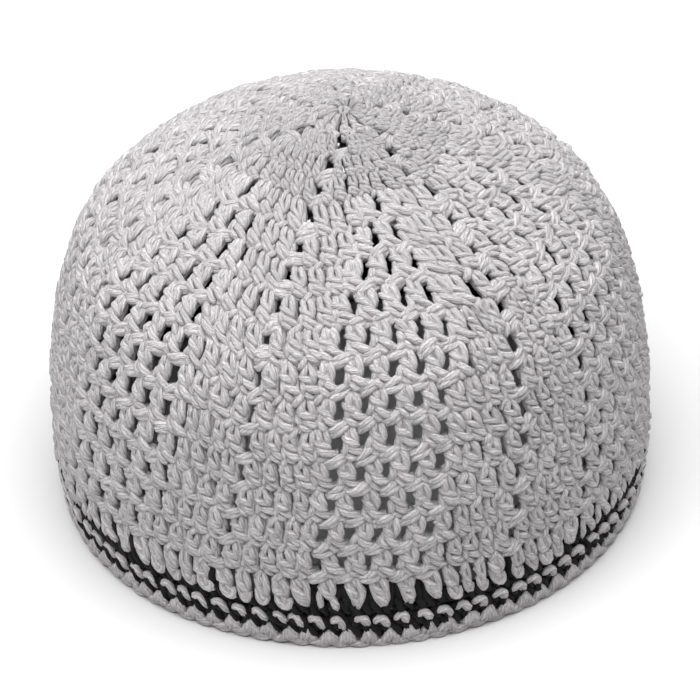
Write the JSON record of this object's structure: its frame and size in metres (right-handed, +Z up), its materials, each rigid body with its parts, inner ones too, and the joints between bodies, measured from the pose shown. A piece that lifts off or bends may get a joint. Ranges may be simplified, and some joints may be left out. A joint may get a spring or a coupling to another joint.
{
  "type": "crocheted kufi",
  "caption": "Domed crocheted kufi cap of thick grey yarn with openwork panels and a black striped rim band; worn close on the head",
  "frame": {"origin": "centre of the rim, on the surface that the cap stands on", "axes": "+Z up from the rim through the middle of the crown, -Y towards the front, +X to the right as seen from the front"},
  "size_m": [0.1798, 0.1798, 0.1285],
  "materials": {
    "grey_yarn": "matt plied cotton yarn, crocheted",
    "black_yarn": "matt plied cotton yarn, crocheted"
  },
  "bodies": {
    "root": {"crown_and_wall": "grey_yarn", "upper_black_round": "black_yarn", "spotted_round": "grey_yarn", "lower_black_round": "black_yarn", "rim_edge": "grey_yarn"}
  },
  "joints": []
}
